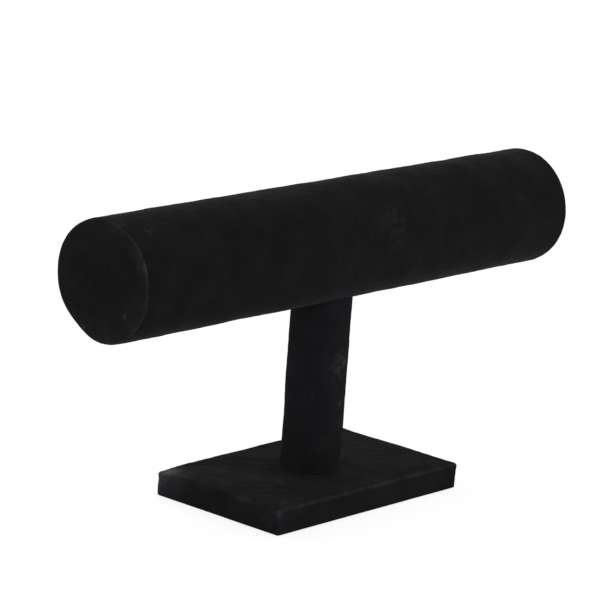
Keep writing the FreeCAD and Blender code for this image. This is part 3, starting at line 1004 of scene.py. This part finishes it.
def wood_material(name, rgb, stretch, bands):
    """Raw wood with its grain along one axis."""
    material, tree, shader, place = new_material(name)
    grain = use_effect(tree, "Wood grain", {"Place": place, "Stretch": stretch, "Bands": bands})
    body = blend(tree, grain["Bands"], shaded(rgb, 0.78), shaded(rgb, 1.08))
    shown = blend(tree, times(tree, grain["Pores"], 0.5), body, shaded(rgb, 0.5))
    rough = number(tree, "ADD", 0.65, times(tree, grain["Bands"], 0.15))
    finish(tree, shader, shown, rough, grain["Pores"], 0.25, 0.1 * MM, Specular_IOR_Level=0.3)
    return material


def fibre_material(name, rgb, stretch, flecks, contrast):
    """Card, paper or fibreboard: pressed fibres with flecks."""
    material, tree, shader, place = new_material(name)
    fibres = use_effect(tree, "Fibre flecks", {"Place": place, "Stretch": stretch, "Flecks": flecks})
    share = times(tree, fibres["Flecks"], fibres["Clouds"])
    share = ramp(tree, share, 0.12, 0.4)
    shown = blend(tree, share, shaded(rgb, 1 - contrast), shaded(rgb, 1 + contrast))
    rough = number(tree, "SUBTRACT", 0.98, times(tree, fibres["Flecks"], 0.2))
    finish(tree, shader, shown, rough, fibres["Flecks"], 0.3, 0.1 * MM, Specular_IOR_Level=0.25)
    return material


def zinc_material(name, rgb):
    """Bright zinc plate with turning marks and dull patches."""
    material, tree, shader, place = new_material(name)
    marks = noise(tree, stretched(tree, place, (0.2, 0.2, 1.0)), 6000.0, 2.0, 0.6)
    dull = ramp(tree, noise(tree, place, 350.0, 3.0), 0.4, 0.7)
    shown = blend(tree, dull, shaded(rgb, 1.1), shaded(rgb, 0.8))
    rough = number(tree, "ADD", 0.24, times(tree, number(tree, "ADD", marks, dull), 0.12))
    finish(tree, shader, shown, rough, marks, 0.15, 0.05 * MM, Metallic=1.0)
    return material


class STAND_OT_finish_frame(bpy.types.Operator):
    """Give the board, dowel, tube, plugs, saddle, liner, bolt and nut their own finishes"""

    bl_idname = "stand.finish_frame"
    bl_label = "Finish the frame"

    def execute(self, context):
        colours = context.scene.stand_colours
        card = fibre_material("lining_card", colours.card, (1, 1, 1), 1100.0, 0.35)
        board = fibre_material("fibreboard", colours.fibreboard, (1, 1, 2.5), 1500.0, 0.25)
        paper = fibre_material("tube_paper", colours.paper, (0.3, 1, 1), 900.0, 0.2)
        dowel = wood_material("birch_dowel", colours.birch, (1, 1, 0.06), 320.0)
        plug = wood_material("turned_softwood", colours.softwood, (0.06, 1, 1), 260.0)
        zinc = zinc_material("zinc_plate", colours.zinc)
        finishes = {"base_liner": card, "base_board": board, "roll_tube": paper, "post_core": dowel,
                    "roll_end_plug_left": plug, "roll_end_plug_right": plug, "roll_saddle": plug,
                    "tee_nut": zinc, "tie_bolt": zinc}
        for node, finish in finishes.items():
            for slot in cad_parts[node].material_slots:
                slot.material = finish
        return {"FINISHED"}


# Stage


def level_axes(view):
    """The level directions away from the camera and to its right."""
    away = Vector((math.sin(view.azimuth), math.cos(view.azimuth), 0))
    return away, Vector((math.cos(view.azimuth), -math.sin(view.azimuth), 0))


def view_axes(view):
    """The camera's line of sight, its right and its up, before it is tilted."""
    level = math.cos(view.elevation)
    away, right = level_axes(view)
    sight = away * level - Vector((0, 0, math.sin(view.elevation)))
    return sight, right, right.cross(sight)


def add_camera(view):
    """The camera, where the photograph was taken from."""
    sight, right, up = view_axes(view)
    target = Vector((-right.x * view.target_left, -right.y * view.target_left, view.target_height))
    tilted_right = right * math.cos(view.tilt) + up * math.sin(view.tilt)
    tilted_up = up * math.cos(view.tilt) - right * math.sin(view.tilt)
    camera = new_object("camera", bpy.data.cameras.new("camera"))
    camera.data.sensor_width = FILM_WIDTH
    camera.data.lens = view.lens
    camera.data.clip_start, camera.data.clip_end = 0.1, 30
    turn = Matrix((tilted_right, tilted_up, -sight)).transposed().to_4x4()
    camera.matrix_world = Matrix.Translation(target - sight * view.distance) @ turn
    bpy.context.scene.camera = camera


def add_lamp(name, view, right, beyond, height, width, power):
    """A soft square lamp that looks at the stand, placed as the camera sees it."""
    away, side = level_axes(view)
    lamp = new_object(name, bpy.data.lights.new(name, "AREA"))
    lamp.data.size = width
    lamp.data.energy = power
    lamp.location = side * right + away * beyond + Vector((0, 0, height))
    target = Vector((0, 0, view.target_height))
    lamp.rotation_euler = (target - lamp.location).to_track_quat("-Z", "Y").to_euler()


def seen_directly(tree):
    """One for rays from the camera, or that a shiny or clear surface sends on."""
    path = tree.nodes.new("ShaderNodeLightPath")
    mirrored = number(tree, "MAXIMUM", path.outputs["Is Glossy Ray"], path.outputs["Is Transmission Ray"])
    return number(tree, "MAXIMUM", path.outputs["Is Camera Ray"], mirrored)


def light_surround(view):
    """An even white surround: plain white where it is seen, and dimmer where it only lights."""
    world = bpy.data.worlds.new("surround")
    bpy.context.scene.world = world
    tree = empty_tree(world)
    lighting = add_node(tree, "ShaderNodeBackground", {"Color": WHITE, "Strength": view.surround})
    seen = add_node(tree, "ShaderNodeBackground", {"Color": WHITE, "Strength": 1.0})
    mixed = add_node(tree, "ShaderNodeMixShader", {0: seen_directly(tree), 1: lighting.outputs[0],
                                                   2: seen.outputs[0]})
    add_node(tree, "ShaderNodeOutputWorld", {"Surface": mixed.outputs[0]})


def floor_material(colours):
    """A pale floor that is white where it is seen and keeps the stand's shadow."""
    material = bpy.data.materials.new("pale_floor")
    tree = empty_tree(material)
    clouds = noise(tree, tree.nodes.new("ShaderNodeTexCoord").outputs["Object"], 30.0, 3.0)
    tone = blend(tree, clouds, shaded(colours.floor, 0.99), shaded(colours.floor, 1.01))
    matt = add_node(tree, "ShaderNodeBsdfDiffuse", {"Color": tone})
    white = add_node(tree, "ShaderNodeEmission", {"Color": WHITE, "Strength": 1.07})
    share = times(tree, seen_directly(tree), 0.8)
    mixed = add_node(tree, "ShaderNodeMixShader", {0: share, 1: matt.outputs[0], 2: white.outputs[0]})
    add_node(tree, "ShaderNodeOutputMaterial", {"Surface": mixed.outputs[0]})
    return material


class STAND_OT_set_stage(bpy.types.Operator):
    """Set a pale floor, soft light and the photograph's camera"""

    bl_idname = "stand.set_stage"
    bl_label = "Set the stage"

    def execute(self, context):
        view = context.scene.stand_view
        mesh = bpy.data.meshes.new("floor")
        plan = ((-1, -1), (1, -1), (1, 1), (-1, 1))
        corners = [(x * FLOOR_REACH, y * FLOOR_REACH, -FLOOR_DROP) for x, y in plan]
        mesh.from_pydata(corners, [], [(0, 1, 2, 3)])
        mesh.materials.append(floor_material(context.scene.stand_colours))
        floor = new_object("floor", mesh)
        light_surround(view)
        for name, settings in LAMPS.items():
            add_lamp(name, view, *settings)
        add_camera(view)
        context.scene.view_settings.view_transform = "Standard"
        return {"FINISHED"}


class STAND_PT_panel(bpy.types.Panel):
    """Sizes, colours and steps of the stand"""

    bl_idname = "STAND_PT_panel"
    bl_label = "Bracelet display stand"
    bl_space_type = "VIEW_3D"
    bl_region_type = "UI"
    bl_category = "Stand"

    def draw(self, context):
        for group in GROUPS:
            holder = getattr(context.scene, group)
            box = self.layout.box()
            box.label(text=group.replace("stand_", "").capitalize())
            for name in holder.bl_rna.properties.keys():
                if name not in ("rna_type", "name"):
                    box.prop(holder, name)
        for step in STEPS:
            self.layout.operator(step.bl_idname)


STEPS = (STAND_OT_set_stage, STAND_OT_finish_frame, STAND_OT_cover_base, STAND_OT_cover_post,
         STAND_OT_cover_roll, STAND_OT_cover_ends)
GROUPS = {"stand_velvet": StandVelvet, "stand_colours": StandColours, "stand_view": StandView}


def register():
    """Makes the add-on's classes and the scene's properties known to Blender."""
    for holder in (*GROUPS.values(), *STEPS, STAND_PT_panel):
        bpy.utils.register_class(holder)
    for name, holder in GROUPS.items():
        setattr(bpy.types.Scene, name, bpy.props.PointerProperty(type=holder))


def unregister():
    """Takes them away again."""
    for name in GROUPS:
        delattr(bpy.types.Scene, name)
    for holder in (STAND_PT_panel, *reversed(STEPS), *GROUPS.values()):
        bpy.utils.unregister_class(holder)


def main():
    """Makes every piece in turn, and keeps the sizes."""
    register()
    bpy.ops.stand.set_stage()
    bpy.ops.stand.finish_frame()
    bpy.ops.stand.cover_base()
    bpy.ops.stand.cover_post()
    bpy.ops.stand.cover_roll()
    bpy.ops.stand.cover_ends()


if __name__ == "__main__":
    main()
